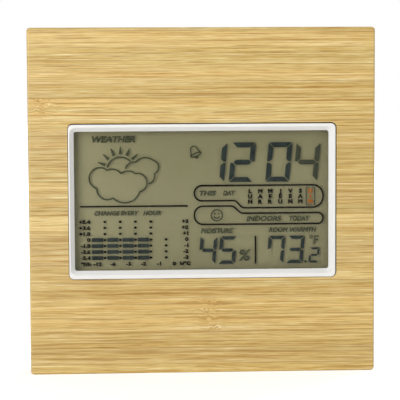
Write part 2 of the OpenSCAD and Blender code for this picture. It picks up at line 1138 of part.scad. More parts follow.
// 0 to 1 with a level stretch at each end
function ease(part) = min(1, max(0, (part - 0.2) / 0.6));

module buzzer_disc() {
    color([0.8, 0.65, 0.3])
        translate([buzzer_x, 0, buzzer_z])
            bar_y(buzzer_r, buzzer_seat_y - 0.3, buzzer_seat_y);
}

module buzzer_ceramic() {
    color([0.85, 0.84, 0.8])
        translate([buzzer_x, 0, buzzer_z])
            bar_y(7, buzzer_seat_y - 0.55, buzzer_seat_y - 0.3);
}

module buzzer_wires() {
    wire_r = 0.4;
    color([0.7, 0.1, 0.1])
        buzzer_wire([buzzer_x - 2, buzzer_seat_y - 0.55 - wire_r, buzzer_z], 50, wire_r);
    color(dark_colour)
        buzzer_wire([buzzer_x - 8.5, buzzer_seat_y - 0.3 - wire_r, buzzer_z], 54, wire_r);
}

module buzzer_wire(start, end_z, wire_r) {
    end = [30, board_back + 0.1, end_z];
    wire(curve_points(start, start + [-3, -3.5, 0], end + [0, 4, 0], end, 12), wire_r);
}

// ---- Nodes ----

bamboo_panel();
front_bezel();
lens_tape();
window_lens();
front_polariser();
lcd_front_glass();
lcd_rear_glass();
lcd_reflector();
lcd_holder();
zebra_strip_upper();
zebra_strip_lower();
main_board();
chip_blob();
quartz_crystal();
board_capacitors();
humidity_sensor();
temperature_sensor();
bezel_screws();
board_screws();
rear_cover();
case_screws();
battery_upper();
battery_lower();
contact_link();
contact_positive();
contact_negative();
battery_wires();
battery_door();
stand_leg();
key_board();
tact_switches();
key_board_screws();
ribbon_cable();
buzzer_disc();
buzzer_ceramic();
buzzer_wires();
mode_button();
set_button();
up_button();
down_button();
alarm_button();
unit_button();
mode_plunger();
set_plunger();
up_plunger();
down_plunger();
alarm_plunger();
unit_plunger();
reset_button();
reset_plunger();
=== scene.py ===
import math

import bmesh
import bpy
from mathutils import Matrix, Vector


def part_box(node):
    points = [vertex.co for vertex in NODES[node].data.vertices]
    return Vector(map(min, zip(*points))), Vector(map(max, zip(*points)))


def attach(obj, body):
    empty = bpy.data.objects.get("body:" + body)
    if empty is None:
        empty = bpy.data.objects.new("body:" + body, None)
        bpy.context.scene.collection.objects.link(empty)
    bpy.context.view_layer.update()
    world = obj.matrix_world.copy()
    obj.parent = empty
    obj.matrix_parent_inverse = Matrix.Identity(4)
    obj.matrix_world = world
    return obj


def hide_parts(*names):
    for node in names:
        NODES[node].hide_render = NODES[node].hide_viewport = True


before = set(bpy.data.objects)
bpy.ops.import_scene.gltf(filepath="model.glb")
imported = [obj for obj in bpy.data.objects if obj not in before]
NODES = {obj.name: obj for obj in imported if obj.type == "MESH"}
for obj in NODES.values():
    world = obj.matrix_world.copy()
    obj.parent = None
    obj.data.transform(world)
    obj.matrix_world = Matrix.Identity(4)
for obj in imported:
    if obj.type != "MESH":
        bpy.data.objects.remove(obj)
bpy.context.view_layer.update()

# The desk weather station's looks: its materials, what the display shows, the cells, the
# lights and the camera. Places come from the CAD frame. Blender works in metres; lengths
# that are written here in millimetres are multiplied by MM.
MM = 0.001

panel_low, panel_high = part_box("bamboo_panel")
panel_left = panel_low.x
middle_z = (panel_low.z + panel_high.z) / 2

# Half the size of the bezel's visible rim
RIM_HALF_W = 52.05
RIM_HALF_H = 30.1

# The display's segments are thin solids at the rear face of its front glass
ink_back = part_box("lcd_front_glass")[1].y - 0.02 * MM
ink_front = ink_back - 0.04 * MM


# ---- Building materials from nodes ----

def colour(red, green, blue):
    """A screen colour, 0 to 255 a channel, as the linear colour that shaders use."""
    def linear(channel):
        part = channel / 255
        return part / 12.92 if part <= 0.04045 else ((part + 0.055) / 1.055) ** 2.4
    return (linear(red), linear(green), linear(blue), 1)


class Graph:
    """The node tree of one material, with short ways to add and join nodes."""

    def __init__(self, name):
        self.material = bpy.data.materials.new(name)
        self.material.use_nodes = True
        self.tree = self.material.node_tree
        self.tree.nodes.clear()

    def add(self, kind, inputs=None, **settings):
        """Adds a node; inputs gives a value or another node's output for each socket."""
        node = self.tree.nodes.new("ShaderNode" + kind)
        for key, value in settings.items():
            setattr(node, key, value)
        for key, value in (inputs or {}).items():
            if isinstance(value, bpy.types.NodeSocket):
                self.tree.links.new(value, node.inputs[key])
            else:
                node.inputs[key].default_value = value
        return node

    def place(self, x=1, y=1, z=1):
        """The object's own coordinates in millimetres, scaled along each axis."""
        coords = self.add("TexCoord").outputs["Object"]
        scale = (x / MM, y / MM, z / MM)
        return self.add("Mapping", {"Vector": coords, "Scale": scale}).outputs[0]

    def split(self, vector):
        return self.add("SeparateXYZ", {0: vector}).outputs

    def join(self, x, y, z):
        return self.add("CombineXYZ", {0: x, 1: y, 2: z}).outputs[0]

    def math(self, operation, first, second=0.0, third=0.0):
        inputs = {0: first, 1: second, 2: third}
        return self.add("Math", inputs, operation=operation).outputs[0]

    def noise(self, vector, detail=2.0, roughness=0.5):
        inputs = {"Vector": vector, "Scale": 1.0, "Detail": detail, "Roughness": roughness}
        return self.add("TexNoise", inputs).outputs["Fac"]

    def ramp(self, value, *stops):
        """Turns a value into a colour; each stop is (position, colour)."""
        node = self.add("ValToRGB", {0: value})
        elements = node.color_ramp.elements
        while len(elements) < len(stops):
            elements.new(1)
        for element, (position, shade) in zip(elements, stops):
            element.position = position
            element.color = shade
        return node.outputs[0]

    def span(self, value, low, high, to_low=0.0, to_high=1.0):
        """Carries low..high over to to_low..to_high, and stays inside that range."""
        inputs = {0: value, 1: low, 2: high, 3: to_low, 4: to_high}
        return self.add("MapRange", inputs).outputs[0]

    def mix(self, share, first, second, blend="MIX"):
        inputs = {0: share, 1: first, 2: second}
        return self.add("MixRGB", inputs, blend_type=blend).outputs[0]

    def hump(self, value, centre, width):
        """1 where value is at centre, falling smoothly to 0 about width away."""
        off = self.math("DIVIDE", self.math("SUBTRACT", value, centre), width)
        return self.math("EXPONENT", self.math("MULTIPLY", self.math("MULTIPLY", off, off), -1))

    def bump(self, height, depth_mm, strength=1.0, normal=None):
        inputs = {"Strength": strength, "Distance": depth_mm * MM, "Height": height}
        if normal:
            inputs["Normal"] = normal
        return self.add("Bump", inputs).outputs[0]

    def soft_edges(self, radius_mm):
        return self.add("Bevel", {"Radius": radius_mm * MM}, samples=4).outputs[0]

    def end(self, shader):
        output = self.add("OutputMaterial", {"Surface": shader})
        output.is_active_output = True
        return self.material

    def solid(self, **inputs):
        """Ends the material with one Principled shader."""
        named = {key.replace("_", " "): value for key, value in inputs.items()}
        return self.end(self.add("BsdfPrincipled", named).outputs[0])


# ---- The bamboo ----

STRIP_H = 6.5  # height of one glued strip
STRIP_START = 3.7  # height of the lowest glue line above the table
KNUCKLES = [(5.6, 106.3), (71.0, 20.0), (69.5, 26.4)]  # millimetres from the lower left corner


def bamboo():
    g = Graph("bamboo_lacquered")
    x, y, z = g.split(g.place())
    x = g.math("SUBTRACT", x, panel_left / MM)
    strip = g.math("FLOOR", g.math("DIVIDE", g.math("SUBTRACT", z, STRIP_START), STRIP_H))
    chance = g.add("TexWhiteNoise", {"W": strip}, noise_dimensions="1D")
    luck = chance.outputs["Value"]
    tint = g.split(chance.outputs["Color"])

    # Each knuckle bends the grain of its own strip and darkens it
    knuckle = 0.0
    for place_x, place_z in KNUCKLES:
        own_strip = math.floor((place_z - STRIP_START) / STRIP_H)
        here = g.math("COMPARE", strip, own_strip, 0.5)
        near = g.hump(x, place_x, 4.5)
        knuckle = g.math("ADD", knuckle, g.math("MULTIPLY", here, near))
    swirl = g.noise(g.place(0.3, 0.3, 0.42), 2)
    sway = g.noise(g.place(0.02, 0.05, 0.05), 1)
    bend = g.math("MULTIPLY", g.math("SUBTRACT", swirl, 0.5), g.math("MULTIPLY", knuckle, 5.0))
    lean = g.math("MULTIPLY", g.math("SUBTRACT", sway, 0.5), 0.9)
    grain_z = g.math("ADD", g.math("ADD", z, bend), lean)
    grain_z = g.math("ADD", grain_z, g.math("MULTIPLY", luck, 91.0))
    grain_y = g.math("ADD", y, g.math("MULTIPLY", luck, 57.0))

    def fibres(length, across, detail, roughness=0.55):
        """Noise drawn out along the grain: length and width of a fibre in millimetres."""
        along = g.math("DIVIDE", x, length)
        vector = g.join(
            along, g.math("DIVIDE", grain_y, across), g.math("DIVIDE", grain_z, across)
        )
        return g.noise(vector, detail, roughness)

    streaks = fibres(9, 0.36, 2, 0.7)
    fine = fibres(50, 0.4, 2, 0.6)
    middle = fibres(240, 0.95, 1)
    broad = fibres(300, 3.0, 1)
    flecks = g.span(fibres(20, 0.3, 1), 0.6, 0.66)

    # Thin dark veins follow the middle level of a broad noise
    level = g.math("ABSOLUTE", g.math("SUBTRACT", fibres(500, 1.5, 1), 0.5))
    broken = g.span(fibres(30, 1.1, 1), 0.42, 0.6)
    vein = g.math("MULTIPLY", g.span(level, 0.015, 0.05, 1, 0), broken)

    tone = g.math("MULTIPLY_ADD", fine, 0.42, g.math("MULTIPLY", middle, 0.2))
    tone = g.math("MULTIPLY_ADD", streaks, 0.38, tone)
    base = g.ramp(
        tone,
        (0.32, colour(166, 122, 44)),
        (0.41, colour(198, 159, 78)),
        (0.47, colour(214, 183, 108)),
        (0.56, colour(226, 200, 132)),
        (0.66, colour(244, 228, 178)),
    )
    warm = g.mix(g.span(broad, 0.35, 0.65, 0, 0.4), base, colour(236, 180, 92), "MULTIPLY")
    pink = g.mix(g.span(tint[0], 0.35, 1.0, 0, 0.25), base, colour(236, 198, 150))
    base = g.mix(g.span(tint[1], 0.3, 0.7), pink, g.mix(0.4, base, warm))
    drift = g.span(broad, 0.3, 0.7, -0.06, 0.08)
    light = g.math("ADD", g.span(tint[2], 0, 1, 0.9, 1.06), drift)
    base = g.mix(1.0, base, g.join(light, light, light), "MULTIPLY")
    base = g.mix(g.math("MULTIPLY", flecks, 0.55), base, colour(158, 110, 36))
    base = g.mix(g.math("MULTIPLY", vein, 0.6), base, colour(168, 122, 42))

    # Knuckles, glue lines, and the darker ends of the fibres at both sides of the board
    stain = g.math("MULTIPLY", knuckle, g.span(swirl, 0.42, 0.62))
    base = g.mix(g.math("MULTIPLY", stain, 0.45), base, colour(196, 148, 66))
    from_glue = g.math("PINGPONG", g.math("SUBTRACT", z, STRIP_START), STRIP_H / 2)
    glue = g.span(from_glue, 0.04, 0.2, 1, 0)
    patchy = g.span(fibres(40, 6.5, 1), 0.4, 0.6, 0.15, 0.6)
    base = g.mix(g.math("MULTIPLY", glue, patchy), base, colour(150, 104, 40))
    facing = g.split(g.add("TexCoord").outputs["Normal"])
    end_grain = g.span(g.math("ABSOLUTE", facing[0]), 0.8, 0.97)
    base = g.mix(g.math("MULTIPLY", end_grain, 0.28), base, colour(176, 128, 68))

    # Painted shade: the cut faces inside the window, in the narrow gap round the bezel, are
    # darkened
    window_wall_shade = g.math("GREATER_THAN", y, panel_low.y / MM + 0.15)
    around = ((x, -panel_left / MM, RIM_HALF_W + 0.6), (z, middle_z / MM, RIM_HALF_H + 0.6))
    for value, centre, reach in around:
        window_wall_shade = g.math("MULTIPLY", window_wall_shade, g.math("COMPARE", value, centre, reach))
    base = g.mix(g.math("MULTIPLY", window_wall_shade, 0.9), base, colour(64, 40, 16))

    height = g.math("SUBTRACT", tone, g.math("MULTIPLY", g.math("ADD", flecks, glue), 0.3))
    return g.solid(
        Base_Color=base,
        Roughness=g.span(tone, 0.3, 0.7, 0.5, 0.38),
        Normal=g.bump(height, 0.05, 0.6, g.soft_edges(0.2)),
        Coat_Weight=0.25,
        Coat_Roughness=0.3,
    )


# ---- Plastics, films and glass ----

def moulded(name, shade, roughness, texture_mm=0.012, edge_mm=0.18, gap_shade=None):
    """Moulded plastic: a fine spark-eroded texture, soft edges and faint marks of handling.
    The last argument is (half width, half height, front): beyond that size and behind that
    front, the part is painted dark as shade in the gap around it."""
    g = Graph(name)
    grain = g.noise(g.place(3.5, 3.5, 3.5), 2)
    cloud = g.noise(g.place(0.04, 0.04, 0.04), 3)
    smudge = g.noise(g.place(0.12, 0.12, 0.12), 4, 0.65)
    deep = tuple(channel * 0.95 for channel in shade[:3]) + (1,)
    base = g.mix(g.span(cloud, 0.35, 0.7), shade, deep)
    # Painted shade: the walls in the gap round the part are darkened
    if gap_shade:
        half_width, half_height, front = gap_shade
        x, y, z = g.split(g.place())
        from_middle = g.math("SUBTRACT", z, middle_z / MM)
        beyond_x = g.math("GREATER_THAN", g.math("ABSOLUTE", x), half_width)
        beyond_z = g.math("GREATER_THAN", g.math("ABSOLUTE", from_middle), half_height)
        outside = g.math("MAXIMUM", beyond_x, beyond_z)
        sunk = g.math("GREATER_THAN", y, front)
        base = g.mix(g.math("MULTIPLY", outside, sunk), base, colour(58, 44, 28))
    return g.solid(
        Base_Color=base,
        Roughness=g.span(smudge, 0.35, 0.7, roughness - 0.05, roughness + 0.08),
        Normal=g.bump(grain, texture_mm, 0.7, g.soft_edges(edge_mm)),
    )


def clear_sheet(name, tint, mirror, roughness):
    """A clear layer whose outer faces mirror a little and whose inside bends nothing."""
    g = Graph(name)
    specks = g.noise(g.place(0.5, 0.5, 0.5), 3)
    through = g.add("BsdfTransparent", {"Color": tint}).outputs[0]
    gloss = g.add(
        "BsdfGlossy", {"Roughness": g.span(specks, 0.3, 0.8, roughness, roughness * 1.5)}
    ).outputs[0]
    fresnel = g.add("Fresnel", {"IOR": 1.45}).outputs[0]
    outer = g.math("SUBTRACT", 1.0, g.add("NewGeometry").outputs["Backfacing"])
    share = g.math("MULTIPLY", g.math("MULTIPLY", fresnel, outer), mirror)
    return g.end(g.add("MixShader", {0: share, 1: through, 2: gloss}).outputs[0])


def reflector():
    """Grey-green film behind the liquid crystal, slightly pearly, with painted light at its left
    end that offsets the shade of the bezel's lip.
    """
    g = Graph("display_reflector_film")
    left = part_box("lcd_reflector")[0].x / MM
    x = g.split(g.place())[0]
    pearl = g.noise(g.place(7, 7, 7), 2)
    drift = g.noise(g.place(0.012, 0.012, 0.016), 1)
    film = g.ramp(drift, (0.35, colour(146, 142, 111)), (0.65, colour(155, 150, 120)))
    film = g.mix(g.span(pearl, 0.3, 0.7, 0, 0.1), film, colour(167, 162, 131))
    # Painted light: lighter towards the left end, against the shadow of the bezel's lip
    light = g.span(x, left, left + 32, 1.2, 1.0)
    film = g.mix(1.0, film, g.join(light, light, light), "MULTIPLY")
    return g.solid(
        Base_Color=film,
        Roughness=g.span(pearl, 0.3, 0.7, 0.42, 0.55),
        Metallic=0.15,
        Normal=g.bump(pearl, 0.01, 0.4),
    )


def ink(name, shade, edge):
    """The dark of a display segment, a little uneven as liquid crystal is."""
    g = Graph(name)
    cloud = g.noise(g.place(0.35, 0.35, 0.35), 3)
    return g.solid(
        Base_Color=g.mix(g.span(cloud, 0.35, 0.65), shade, edge),
        Roughness=0.6,
        Specular_IOR_Level=0.05,
    )


def rubber_strip():
    """Connector rubber: conducting black layers between clear ones."""
    g = Graph("zebra_rubber_layers")
    x = g.split(g.place())[0]
    stripe = g.math("PINGPONG", x, 0.25)
    layers = g.ramp(
        g.span(stripe, 0.1, 0.15), (0.0, colour(30, 28, 30)), (1.0, colour(214, 176, 170))
    )
    return g.solid(
        Base_Color=layers, Roughness=0.6, Normal=g.bump(g.noise(g.place(2, 2, 2)), 0.02, 0.4)
    )


def tape():
    g = Graph("tape_black")
    fibre = g.noise(g.place(2.5, 2.5, 2.5), 3)
    return g.solid(
        Base_Color=g.ramp(fibre, (0.3, colour(20, 20, 21)), (0.7, colour(38, 38, 40))),
        Roughness=g.span(fibre, 0.3, 0.7, 0.65, 0.85),
        Normal=g.bump(fibre, 0.03, 0.6),
    )


def circuit_board():
    """Green solder mask over copper tracks that run across and down the board."""
    g = Graph("circuit_board_mask")
    x, _, z = g.split(g.place())

    def tracks(width, height, seed):
        """Distance from the middles of cells of that size in millimetres."""
        cells = g.join(g.math("DIVIDE", x, width), seed, g.math("DIVIDE", z, height))
        inputs = {"Vector": cells, "Scale": 1.0, "Randomness": 0.7}
        return g.add("TexVoronoi", inputs, distance="MANHATTAN").outputs["Distance"]

    across = tracks(9.0, 1.3, 0.0)
    down = tracks(1.3, 11.0, 3.0)
    track = g.math("MAXIMUM", g.span(across, 0.5, 0.56), g.span(down, 0.52, 0.58))
    mask = g.mix(track, colour(26, 74, 44), colour(44, 112, 64))
    weave = g.noise(g.place(1.6, 1.6, 1.6), 2)
    return g.solid(
        Base_Color=g.mix(g.span(weave, 0.3, 0.7, 0, 0.25), mask, colour(20, 58, 36)),
        Roughness=g.span(weave, 0.3, 0.7, 0.3, 0.42),
        Normal=g.bump(g.math("ADD", track, g.math("MULTIPLY", weave, 0.3)), 0.035, 0.8),
        Coat_Weight=0.4,
        Coat_Roughness=0.15,
    )


def resin():
    g = Graph("resin_black")
    flow = g.noise(g.place(0.35, 0.35, 0.35), 3)
    return g.solid(
        Base_Color=g.ramp(flow, (0.3, colour(16, 16, 17)), (0.7, colour(30, 29, 30))),
        Roughness=g.span(flow, 0.3, 0.7, 0.18, 0.34),
        Normal=g.bump(flow, 0.08, 0.5),
    )


def metal(name, shade, roughness, lines=(1.0, 1.0, 1.0), depth_mm=0.006):
    """Metal with fine marks; lines stretches them along an axis, as rolling or brushing does."""
    g = Graph(name)
    marks = g.noise(g.place(*lines), 3, 0.6)
    dull = g.noise(g.place(0.25, 0.25, 0.25), 3)
    dark = tuple(channel * 0.8 for channel in shade[:3]) + (1,)
    return g.solid(
        Base_Color=g.mix(g.span(dull, 0.35, 0.7), shade, dark),
        Metallic=1.0,
        Roughness=g.span(marks, 0.3, 0.7, roughness * 0.8, roughness * 1.3),
        Normal=g.bump(marks, depth_mm, 0.5, g.soft_edges(0.06)),
    )


def capacitor_sleeve():
    """Shrunk sleeve with a pale stripe down one side."""
    g = Graph("capacitor_sleeve")
    z = g.split(g.place())[2]
    skin = g.noise(g.place(1.2, 1.2, 1.2), 3)
    stripe = g.span(g.math("PINGPONG", z, 2.0), 1.7, 1.75)
    shade = g.ramp(skin, (0.3, colour(36, 42, 74)), (0.7, colour(48, 55, 92)))
    return g.solid(
        Base_Color=g.mix(stripe, shade, colour(196, 198, 206)),
        Roughness=g.span(skin, 0.3, 0.7, 0.28, 0.4),
        Normal=g.bump(skin, 0.02, 0.4),
    )


def wires(name, divide_z, above, below):
    """Insulated wire: one colour above the height divide_z and another below it."""
    g = Graph(name)
    z = g.split(g.place())[2]
    skin = g.noise(g.place(1.5, 1.5, 1.5), 2)
    side = g.math("GREATER_THAN", z, divide_z / MM)
    shade = g.mix(side, below, above)
    return g.solid(
        Base_Color=g.mix(g.span(skin, 0.3, 0.7, 0, 0.15), shade, colour(60, 52, 50)),
        Roughness=g.span(skin, 0.3, 0.7, 0.38, 0.5),
        Normal=g.bump(skin, 0.02, 0.3),
    )


def ribbon():
    """Flat cable: ten wires under one grey film, the first of them marked red."""
    g = Graph("ribbon_cable_film")
    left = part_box("ribbon_cable")[0].x / MM
    across = g.math("SUBTRACT", g.split(g.place())[0], left)
    wire = g.math("PINGPONG", across, 0.5)
    # Painted shade: the grooves between the wires are darkened
    groove_shade = g.span(wire, 0.03, 0.16, 1, 0)
    grey = g.mix(groove_shade, colour(205, 203, 194), colour(150, 148, 140))
    first = g.math("LESS_THAN", across, 1.0)
    return g.solid(
        Base_Color=g.mix(first, grey, colour(178, 44, 38)),
        Roughness=g.span(g.noise(g.place(1, 1, 1)), 0.3, 0.7, 0.32, 0.46),
        Normal=g.bump(g.span(wire, 0, 0.5), 0.12, 0.8),
    )


def piezo():
    """Fired ceramic with a silvered face that stops short of its edge."""
    g = Graph("piezo_silvered")
    low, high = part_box("buzzer_ceramic")
    x, _, z = g.split(g.place())
    from_x = g.math("SUBTRACT", x, (low.x + high.x) / 2 / MM)
    from_z = g.math("SUBTRACT", z, (low.z + high.z) / 2 / MM)
    square = g.math("MULTIPLY_ADD", from_x, from_x, g.math("MULTIPLY", from_z, from_z))
    silver = g.math("LESS_THAN", g.math("SQRT", square), (high.x - low.x) / 2 / MM - 0.8)
    grain = g.noise(g.place(1.8, 1.8, 1.8), 3)
    clay = g.ramp(grain, (0.3, colour(206, 196, 176)), (0.7, colour(222, 214, 196)))
    return g.solid(
        Base_Color=g.mix(silver, clay, colour(205, 204, 200)),
        Metallic=g.math("MULTIPLY", silver, 0.8),
        Roughness=g.span(grain, 0.3, 0.7, 0.35, 0.5),
        Normal=g.bump(grain, 0.01, 0.5),
    )


def battery_sleeve():
    """Plain printed sleeve: a pale band at the plus end, and a plus and a minus mark.
    The cell lies along its own X axis with the plus end at +X."""
    g = Graph("battery_sleeve_print")
    x, _, z = g.split(g.place())
    skin = g.noise(g.place(0.8, 0.8, 0.8), 3)
    body = g.ramp(skin, (0.3, colour(44, 62, 84)), (0.7, colour(54, 74, 98)))
    band = g.math("GREATER_THAN", x, 11.0)
    shade = g.mix(band, body, colour(188, 194, 198))

    def bar(centre_x, half_x, half_z):
        inside_x = g.math("COMPARE", x, centre_x, half_x)
        return g.math("MULTIPLY", inside_x, g.math("COMPARE", z, 0.0, half_z))

    plus = g.math("MAXIMUM", bar(16.0, 1.5, 0.35), bar(16.0, 0.35, 1.5))
    shade = g.mix(plus, shade, colour(44, 62, 84))
    shade = g.mix(bar(-17.0, 0.35, 1.5), shade, colour(188, 194, 198))
    return g.solid(
        Base_Color=shade,
        Roughness=g.span(skin, 0.3, 0.7, 0.26, 0.36),
        Normal=g.bump(skin, 0.01, 0.3),
        Coat_Weight=0.5,
        Coat_Roughness=0.12,
    )


WHITE_PLASTIC = moulded("case_plastic_white", colour(241, 240, 237), 0.4)
# The bezel's outer walls inside the gap round it carry painted shade
BEZEL_PLASTIC = moulded(
    "bezel_plastic_white", colour(247, 246, 243), 0.34, 0.006, 0.12,
    (RIM_HALF_W - 0.05, RIM_HALF_H - 0.05, panel_low.y / MM + 0.05),
)
KEY_PLASTIC = moulded("key_plastic_grey", colour(170, 172, 171), 0.42)
SWITCH_PLASTIC = moulded("switch_plastic_black", colour(34, 34, 36), 0.5)
SENSOR_PLASTIC = moulded("sensor_plastic_blue", colour(88, 132, 176), 0.45)
STEEL = metal("plated_steel_bright", colour(205, 205, 208), 0.22)
SPRING_STEEL = metal("spring_steel_rolled", colour(200, 200, 202), 0.3, (0.3, 0.3, 4))
BRASS = metal("brass_rolled", colour(214, 178, 96), 0.28, (4, 1, 0.3))
RESIN = resin()
CIRCUIT = circuit_board()
GLASS = clear_sheet("display_glass_clear", colour(254, 254, 254), 0.0, 0.05)
DARK_INK = ink("ink_segment_dark", colour(42, 52, 54), colour(52, 61, 62))
FADED_INK = ink("ink_segment_faded", colour(60, 66, 56), colour(70, 75, 64))
SOFT_INK = ink("ink_segment_soft", colour(72, 76, 60), colour(82, 85, 68))
LINE_INK = ink("ink_line", colour(8, 6, 2), colour(14, 12, 6))
ORANGE_INK = ink("ink_marked_day", colour(176, 98, 26), colour(188, 110, 36))
GREY_INK = ink("ink_marked_box", colour(66, 68, 62), colour(78, 80, 72))

cable_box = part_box("battery_wires")
buzzer_wire_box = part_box("buzzer_wires")
LOOKS = {
    "bamboo_panel": bamboo(),
    "front_bezel": BEZEL_PLASTIC,
    "lens_tape": tape(),
    "window_lens": clear_sheet("window_lens_clear", colour(254, 254, 254), 0.5, 0.02),
    "front_polariser": clear_sheet("polariser_film_grey", colour(250, 250, 245), 0.0, 0.2),
    "lcd_front_glass": GLASS,
    "lcd_rear_glass": GLASS,
    "lcd_reflector": reflector(),
    "lcd_holder": WHITE_PLASTIC,
    "zebra_strip_upper": rubber_strip(),
    "main_board": CIRCUIT,
    "key_board": CIRCUIT,
    "chip_blob": RESIN,
    "temperature_sensor": RESIN,
    "quartz_crystal": STEEL,
    "board_capacitors": capacitor_sleeve(),
    "humidity_sensor": SENSOR_PLASTIC,
    "rear_cover": WHITE_PLASTIC,
    "battery_door": WHITE_PLASTIC,
    "stand_leg": WHITE_PLASTIC,
    "contact_positive": SPRING_STEEL,
    "battery_wires": wires(
        "battery_wire_sleeves", (cable_box[0].z + cable_box[1].z) / 2,
        colour(30, 30, 32), colour(178, 36, 32),
    ),
    # Both of the buzzer's wires lie below the top of their box, so both are red
    "buzzer_wires": wires(
        "buzzer_wire_sleeves", buzzer_wire_box[1].z, colour(30, 30, 32), colour(178, 36, 32)
    ),
    "ribbon_cable": ribbon(),
    "tact_switches": SWITCH_PLASTIC,
    "buzzer_disc": BRASS,
    "buzzer_ceramic": piezo(),
}
LOOKS["zebra_strip_lower"] = LOOKS["zebra_strip_upper"]
for node in NODES:
    if node.endswith("_screws"):
        LOOKS[node] = STEEL
    if node.endswith("_button"):
        LOOKS[node] = KEY_PLASTIC
    if node.endswith("_plunger"):
        LOOKS[node] = SWITCH_PLASTIC
for node, look in LOOKS.items():
    for material_slot in NODES[node].material_slots:
        material_slot.material = look


# ---- Building meshes ----

def piece(name, mesh, look, body="station", smooth=False):
    """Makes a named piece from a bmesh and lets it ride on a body."""
    bmesh.ops.recalc_face_normals(mesh, faces=mesh.faces)
    data = bpy.data.meshes.new(name)
    mesh.to_mesh(data)
    mesh.free()
    if smooth:
        data.shade_smooth()
        data.set_sharp_from_angle(angle=math.radians(35))
    data.materials.append(look)
    thing = bpy.data.objects.new(name, data)
    bpy.context.collection.objects.link(thing)
    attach(thing, body)
    return thing


def at_display(x, y, z):
    """A point of the display: x and z in millimetres from its middle, y in metres."""
    return (x * MM, y, middle_z + z * MM)


def add_plate(mesh, outline):
    """Adds a flat solid at the display's ink layer; outline lists (x, z) in millimetres."""
    front = [mesh.verts.new(at_display(x, ink_front, z)) for x, z in outline]
    back = [mesh.verts.new(at_display(x, ink_back, z)) for x, z in outline]
    mesh.faces.new(front)
    mesh.faces.new(back[::-1])
    for i, corner in enumerate(front):
        mesh.faces.new([corner, front[i - 1], back[i - 1], back[i]])


def add_line(mesh, points, width, closed=False):
    """Adds a drawn line of that width along the points, as a flat solid."""
    count = len(points)
    rings = []
    for i, point in enumerate(points):
        here = Vector(point)
        before = Vector(points[i - 1]) if closed or i > 0 else here
        after = Vector(points[(i + 1) % count]) if closed or i < count - 1 else here
        along = (after - before).normalized()
        side = Vector((-along.y, along.x)) * width / 2
        left, right = here + side, here - side
        corners = [(left, ink_front), (right, ink_front), (right, ink_back), (left, ink_back)]
        rings.append([mesh.verts.new(at_display(p.x, y, p.y)) for p, y in corners])
    for i in range(count if closed else count - 1):
        ring, following = rings[i], rings[(i + 1) % count]
        for k in range(4):
            mesh.faces.new([ring[k], ring[k - 1], following[k - 1], following[k]])
    if not closed:
        mesh.faces.new(rings[0])
        mesh.faces.new(rings[-1][::-1])


def arc(first, through, last, steps=12):
    """Points on the circle from first to last that passes the point between them."""
    (ax, az), (bx, bz), (cx, cz) = first, through, last
    twice = 2 * (ax * (bz - cz) + bx * (cz - az) + cx * (az - bz))
    a2, b2, c2 = ax * ax + az * az, bx * bx + bz * bz, cx * cx + cz * cz
    mid_x = (a2 * (bz - cz) + b2 * (cz - az) + c2 * (az - bz)) / twice
    mid_z = (a2 * (cx - bx) + b2 * (ax - cx) + c2 * (bx - ax)) / twice
    radius = math.hypot(ax - mid_x, az - mid_z)
    start = math.atan2(az - mid_z, ax - mid_x)
    full = 2 * math.pi
    to_last = (math.atan2(cz - mid_z, cx - mid_x) - start) % full
    to_through = (math.atan2(bz - mid_z, bx - mid_x) - start) % full
    turn = to_last if to_through < to_last else to_last - full
    angles = [start + turn * i / steps for i in range(steps + 1)]
    return [(mid_x + radius * math.cos(a), mid_z + radius * math.sin(a)) for a in angles]


def circle(x, z, radius, steps=24, stretch=1.0):
    """A circle, or an ellipse that is `stretch` times as wide as it is high."""
    angles = [2 * math.pi * i / steps for i in range(steps)]
    return [(x + stretch * radius * math.cos(a), z + radius * math.sin(a)) for a in angles]


def rounded(corners, steps=8):
    """A closed path whose corners, each (x, z, radius), are rounded off."""
    path = []
    for i, (x, z, radius) in enumerate(corners):
        here = Vector((x, z))
        back = (Vector(corners[i - 1][:2]) - here).normalized()
        ahead = (Vector(corners[(i + 1) % len(corners)][:2]) - here).normalized()
        half = back.angle(ahead) / 2
        reach = radius / math.tan(half)
        middle = here + (back + ahead).normalized() * radius / math.sin(half)
        start, end = here + back * reach, here + ahead * reach
        nearest = middle + (here - middle).normalized() * radius
        path += arc(tuple(start), tuple(nearest), tuple(end), steps)
    return path


# ---- Lettering ----

def text_mesh(words, weight, slant):
    """Words as a closed mesh in X and Y. The bevel makes the letters bolder by weight."""
    curve = bpy.data.curves.new("words", "FONT")
    curve.body = words
    curve.resolution_u = 3
    curve.shear = slant
    curve.extrude = 0.01
    curve.bevel_depth = weight
    curve.bevel_resolution = 0
    holder = bpy.data.objects.new("words", curve)
    bpy.context.collection.objects.link(holder)
    graph = bpy.context.evaluated_depsgraph_get()
    data = bpy.data.meshes.new_from_object(holder.evaluated_get(graph))
    bpy.data.objects.remove(holder)
    bpy.data.curves.remove(curve)
    return data


def extent(data):
    """The lowest and the highest corner of a mesh."""
    axes = list(zip(*(vert.co for vert in data.vertices)))
    return Vector(map(min, axes)), Vector(map(max, axes))


